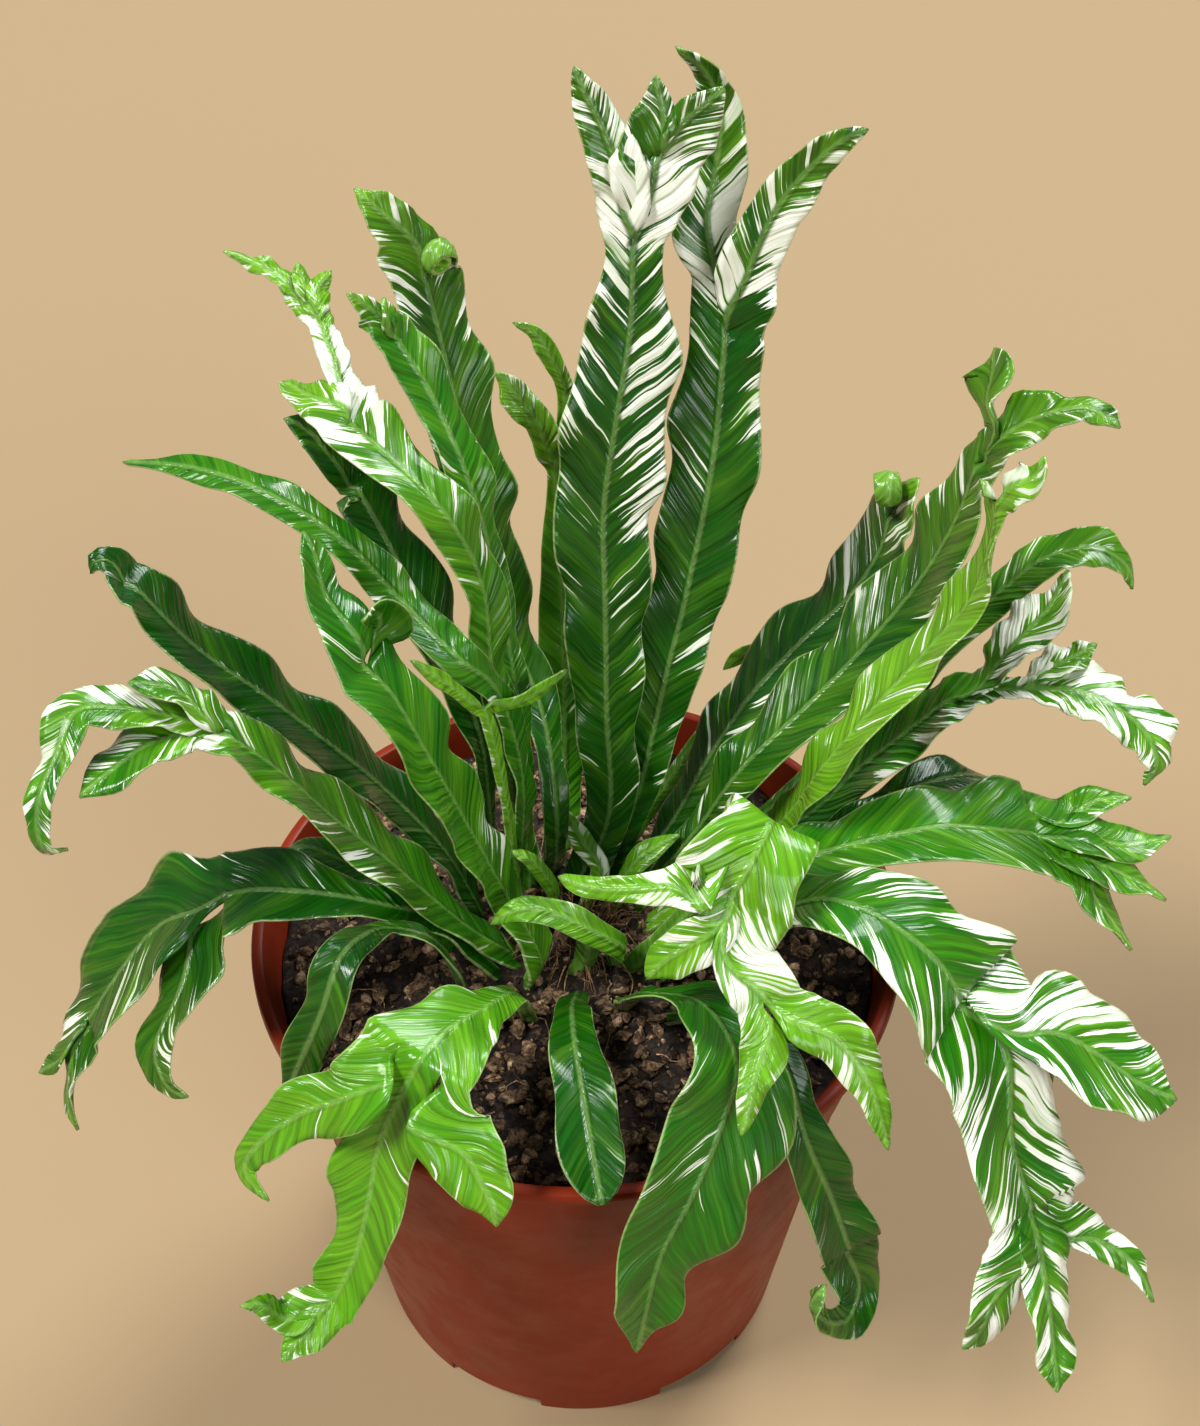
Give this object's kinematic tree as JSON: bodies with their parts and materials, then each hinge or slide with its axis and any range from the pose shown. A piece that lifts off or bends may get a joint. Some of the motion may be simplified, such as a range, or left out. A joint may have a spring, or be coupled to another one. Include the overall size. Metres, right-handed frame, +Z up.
{
  "type": "potted plant",
  "caption": "Potted bird's nest fern with glossy, white-streaked strap leaves that fork into crested tips, standing in soil in a round plastic nursery pot.",
  "frame": {"origin": "On the floor, at z = 0, under the centre of the whole plant's bounding box.", "axes": "+Z up. +X runs to the right and -Y towards the viewer, as the plant is seen in the picture."},
  "size_m": [0.3416, 0.2368, 0.41],
  "materials": {
    "pot": "satin reddish-brown moulded plastic",
    "soil": "dark moist potting mix of bark, fibre and small stones",
    "crown": "brown fibrous growing point",
    "frond_tall_left": "glossy waxy leaf with cream and white streaks",
    "frond_tall_right": "glossy waxy leaf with cream and white streaks",
    "frond_back_small": "glossy waxy leaf with cream and white streaks",
    "frond_left_coil": "glossy waxy leaf with cream and white streaks",
    "frond_left_mid": "glossy waxy leaf with cream and white streaks",
    "frond_left_arch": "glossy waxy leaf with cream and white streaks",
    "frond_left_dark": "glossy waxy leaf with cream and white streaks",
    "frond_left_long": "glossy waxy leaf with cream and white streaks",
    "frond_left_high": "glossy waxy leaf with cream and white streaks",
    "frond_left_dusk": "glossy waxy leaf with cream and white streaks",
    "frond_left_fork": "glossy waxy leaf with cream and white streaks",
    "frond_left_low": "glossy waxy leaf with cream and white streaks",
    "frond_left_under": "glossy waxy leaf with cream and white streaks",
    "frond_left_strap": "glossy waxy leaf with cream and white streaks",
    "frond_front_left": "glossy waxy leaf with cream and white streaks",
    "frond_front_strap": "glossy waxy leaf with cream and white streaks",
    "frond_front_right": "glossy waxy leaf with cream and white streaks",
    "frond_front_curl": "glossy waxy leaf with cream and white streaks",
    "frond_near_big": "glossy waxy leaf with cream and white streaks",
    "frond_right_low": "glossy waxy leaf with cream and white streaks",
    "frond_right_wide": "glossy waxy leaf with cream and white streaks",
    "frond_right_back": "glossy waxy leaf with cream and white streaks",
    "frond_right_coil": "glossy waxy leaf with cream and white streaks",
    "frond_right_tall": "glossy waxy leaf with cream and white streaks",
    "frond_right_pale": "glossy waxy leaf with cream and white streaks",
    "frond_right_crest": "glossy waxy leaf with cream and white streaks",
    "frond_right_hook": "glossy waxy leaf with cream and white streaks",
    "frond_far_tip": "glossy waxy leaf with cream and white streaks",
    "frond_young_pair": "glossy waxy leaf with cream and white streaks",
    "frond_young_bright": "glossy waxy leaf with cream and white streaks",
    "frond_young_left": "glossy waxy leaf with cream and white streaks",
    "frond_young_up": "glossy waxy leaf with cream and white streaks",
    "frond_young_mid": "glossy waxy leaf with cream and white streaks",
    "frond_young_right": "glossy waxy leaf with cream and white streaks"
  },
  "bodies": {
    "root": {"pot": "pot", "soil": "soil", "crown": "crown", "frond_tall_left": "frond_tall_left", "frond_tall_right": "frond_tall_right", "frond_back_small": "frond_back_small", "frond_left_coil": "frond_left_coil", "frond_left_mid": "frond_left_mid", "frond_left_arch": "frond_left_arch", "frond_left_dark": "frond_left_dark", "frond_left_long": "frond_left_long", "frond_left_high": "frond_left_high", "frond_left_dusk": "frond_left_dusk", "frond_left_fork": "frond_left_fork", "frond_left_low": "frond_left_low", "frond_left_under": "frond_left_under", "frond_left_strap": "frond_left_strap", "frond_front_left": "frond_front_left", "frond_front_strap": "frond_front_strap", "frond_front_right": "frond_front_right", "frond_front_curl": "frond_front_curl", "frond_near_big": "frond_near_big", "frond_right_low": "frond_right_low", "frond_right_wide": "frond_right_wide", "frond_right_back": "frond_right_back", "frond_right_coil": "frond_right_coil", "frond_right_tall": "frond_right_tall", "frond_right_pale": "frond_right_pale", "frond_right_crest": "frond_right_crest", "frond_right_hook": "frond_right_hook", "frond_far_tip": "frond_far_tip", "frond_young_pair": "frond_young_pair", "frond_young_bright": "frond_young_bright", "frond_young_left": "frond_young_left", "frond_young_up": "frond_young_up", "frond_young_mid": "frond_young_mid", "frond_young_right": "frond_young_right"}
  },
  "joints": []
}
